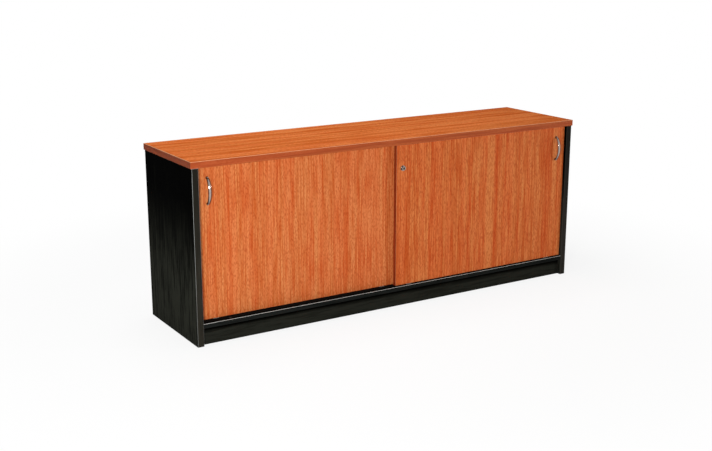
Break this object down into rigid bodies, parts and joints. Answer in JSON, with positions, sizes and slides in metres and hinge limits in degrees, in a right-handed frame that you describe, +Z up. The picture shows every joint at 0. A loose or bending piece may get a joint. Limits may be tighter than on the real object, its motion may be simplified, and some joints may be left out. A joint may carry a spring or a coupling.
{
  "type": "office credenza",
  "caption": "Low office credenza: woodgrain worktop and sliding doors on rollers, dark side panels and plinth, bow handles, push lock, divided shelved inside.",
  "frame": {"origin": "on the floor under the centre of the worktop", "axes": "+X to the right along the worktop, +Y to the back, +Z up; the doors are on the -Y side"},
  "size_m": [1.8, 0.462, 0.7],
  "materials": {
    "beech_laminate": "printed beech woodgrain laminate, satin",
    "beech_edge": "beech woodgrain edge band, satin",
    "charcoal_laminate": "charcoal laminate with a faint woodgrain emboss",
    "charcoal_edge": "charcoal edge band, satin",
    "chrome": "polished chrome plate",
    "steel": "zinc plated steel",
    "die_cast": "die-cast zinc alloy",
    "nylon": "natural white nylon",
    "black_plastic": "black moulded plastic",
    "dowel_wood": "fluted beech dowel",
    "rubber": "soft black rubber",
    "brass": "brass key plug with a nickel finish"
  },
  "bodies": {
    "carcass": {"worktop": "beech_laminate", "worktop_front_band": "beech_edge", "worktop_edge_bands": "beech_edge", "left_side_panel": "charcoal_laminate", "right_side_panel": "charcoal_laminate", "left_side_front_band": "charcoal_edge", "right_side_front_band": "charcoal_edge", "bottom_panel": "charcoal_laminate", "bottom_front_band": "charcoal_edge", "kickboard": "charcoal_laminate", "rear_plinth_rail": "charcoal_laminate", "plinth_centre_rail": "charcoal_laminate", "back_panel": "charcoal_laminate", "back_panel_screws": "steel", "centre_divider": "charcoal_laminate", "divider_front_band": "charcoal_edge", "left_shelf": "charcoal_laminate", "right_shelf": "charcoal_laminate", "shelf_front_bands": "charcoal_edge", "shelf_pins": "steel", "upper_track": "black_plastic", "lower_track": "black_plastic", "track_stops": "rubber", "door_buffers": "rubber", "cam_bolts": "steel", "cam_locks": "die_cast", "dowels": "dowel_wood", "floor_glides": "black_plastic"},
    "left_door": {"left_door_panel": "beech_laminate", "left_door_edge_bands": "beech_edge", "left_door_handle": "chrome", "left_door_handle_screws": "steel", "left_door_roller_housings": "black_plastic", "left_door_axles": "steel", "left_door_guide_housings": "black_plastic", "left_door_outer_guide_spring": "steel", "left_door_inner_guide_spring": "steel", "lock_strike": "black_plastic", "strike_screws": "steel"},
    "left_door_outer_wheel": {"left_door_outer_wheel": "nylon"},
    "left_door_inner_wheel": {"left_door_inner_wheel": "nylon"},
    "left_door_outer_guide": {"left_door_outer_guide": "nylon"},
    "left_door_inner_guide": {"left_door_inner_guide": "nylon"},
    "right_door": {"right_door_panel": "beech_laminate", "right_door_edge_bands": "beech_edge", "right_door_handle": "chrome", "right_door_handle_screws": "steel", "right_door_roller_housings": "black_plastic", "right_door_axles": "steel", "right_door_guide_housings": "black_plastic", "right_door_outer_guide_spring": "steel", "right_door_inner_guide_spring": "steel", "lock_sleeve": "chrome", "lock_spring": "steel"},
    "right_door_outer_wheel": {"right_door_outer_wheel": "nylon"},
    "right_door_inner_wheel": {"right_door_inner_wheel": "nylon"},
    "right_door_outer_guide": {"right_door_outer_guide": "nylon"},
    "right_door_inner_guide": {"right_door_inner_guide": "nylon"},
    "lock_cylinder": {"lock_cylinder": "chrome"},
    "lock_plug": {"lock_plug": "brass"}
  },
  "joints": [
    {"name": "left_door_slide", "type": "slide", "parent": "carcass", "child": "left_door", "axis": [1, 0, 0], "range_m": [0, 0.7917]},
    {"name": "left_door_outer_wheel_spin", "type": "hinge", "parent": "left_door", "child": "left_door_outer_wheel", "pos_m": [-0.7987, -0.175, 0.0955], "axis": [0, 1, 0], "continuous": true},
    {"name": "left_door_inner_wheel_spin", "type": "hinge", "parent": "left_door", "child": "left_door_inner_wheel", "pos_m": [-0.058, -0.175, 0.0955], "axis": [0, 1, 0], "continuous": true},
    {"name": "left_door_outer_guide_retract", "type": "slide", "parent": "left_door", "child": "left_door_outer_guide", "axis": [0, 0, 1], "range_m": [-0.008, 0], "stiffness_N_per_m": 150, "springref_m": 0.008, "deforming": ["left_door_outer_guide_spring"]},
    {"name": "left_door_inner_guide_retract", "type": "slide", "parent": "left_door", "child": "left_door_inner_guide", "axis": [0, 0, 1], "range_m": [-0.008, 0], "stiffness_N_per_m": 150, "springref_m": 0.008, "deforming": ["left_door_inner_guide_spring"]},
    {"name": "right_door_slide", "type": "slide", "parent": "carcass", "child": "right_door", "axis": [1, 0, 0], "range_m": [-0.7917, 0]},
    {"name": "right_door_outer_wheel_spin", "type": "hinge", "parent": "right_door", "child": "right_door_outer_wheel", "pos_m": [0.7987, -0.201, 0.0955], "axis": [0, 1, 0], "continuous": true},
    {"name": "right_door_inner_wheel_spin", "type": "hinge", "parent": "right_door", "child": "right_door_inner_wheel", "pos_m": [0.058, -0.201, 0.0955], "axis": [0, 1, 0], "continuous": true},
    {"name": "right_door_outer_guide_retract", "type": "slide", "parent": "right_door", "child": "right_door_outer_guide", "axis": [0, 0, 1], "range_m": [-0.008, 0], "stiffness_N_per_m": 150, "springref_m": 0.008, "deforming": ["right_door_outer_guide_spring"]},
    {"name": "right_door_inner_guide_retract", "type": "slide", "parent": "right_door", "child": "right_door_inner_guide", "axis": [0, 0, 1], "range_m": [-0.008, 0], "stiffness_N_per_m": 150, "springref_m": 0.008, "deforming": ["right_door_inner_guide_spring"]},
    {"name": "lock_push", "type": "slide", "parent": "right_door", "child": "lock_cylinder", "axis": [0, 1, 0], "range_m": [0, 0.007], "stiffness_N_per_m": 200, "springref_m": -0.006, "deforming": ["lock_spring"]},
    {"name": "lock_plug_turn", "type": "hinge", "parent": "lock_cylinder", "child": "lock_plug", "pos_m": [0.018, -0.2185, 0.578], "axis": [0, 1, 0], "range_deg": [0, 90]}
  ],
  "couplings": [
    {"joint": "left_door_outer_wheel_spin", "follows": "left_door_slide", "rad_per_m": 71.429},
    {"joint": "left_door_inner_wheel_spin", "follows": "left_door_slide", "rad_per_m": 71.429},
    {"joint": "right_door_outer_wheel_spin", "follows": "right_door_slide", "rad_per_m": 71.429},
    {"joint": "right_door_inner_wheel_spin", "follows": "right_door_slide", "rad_per_m": 71.429}
  ]
}
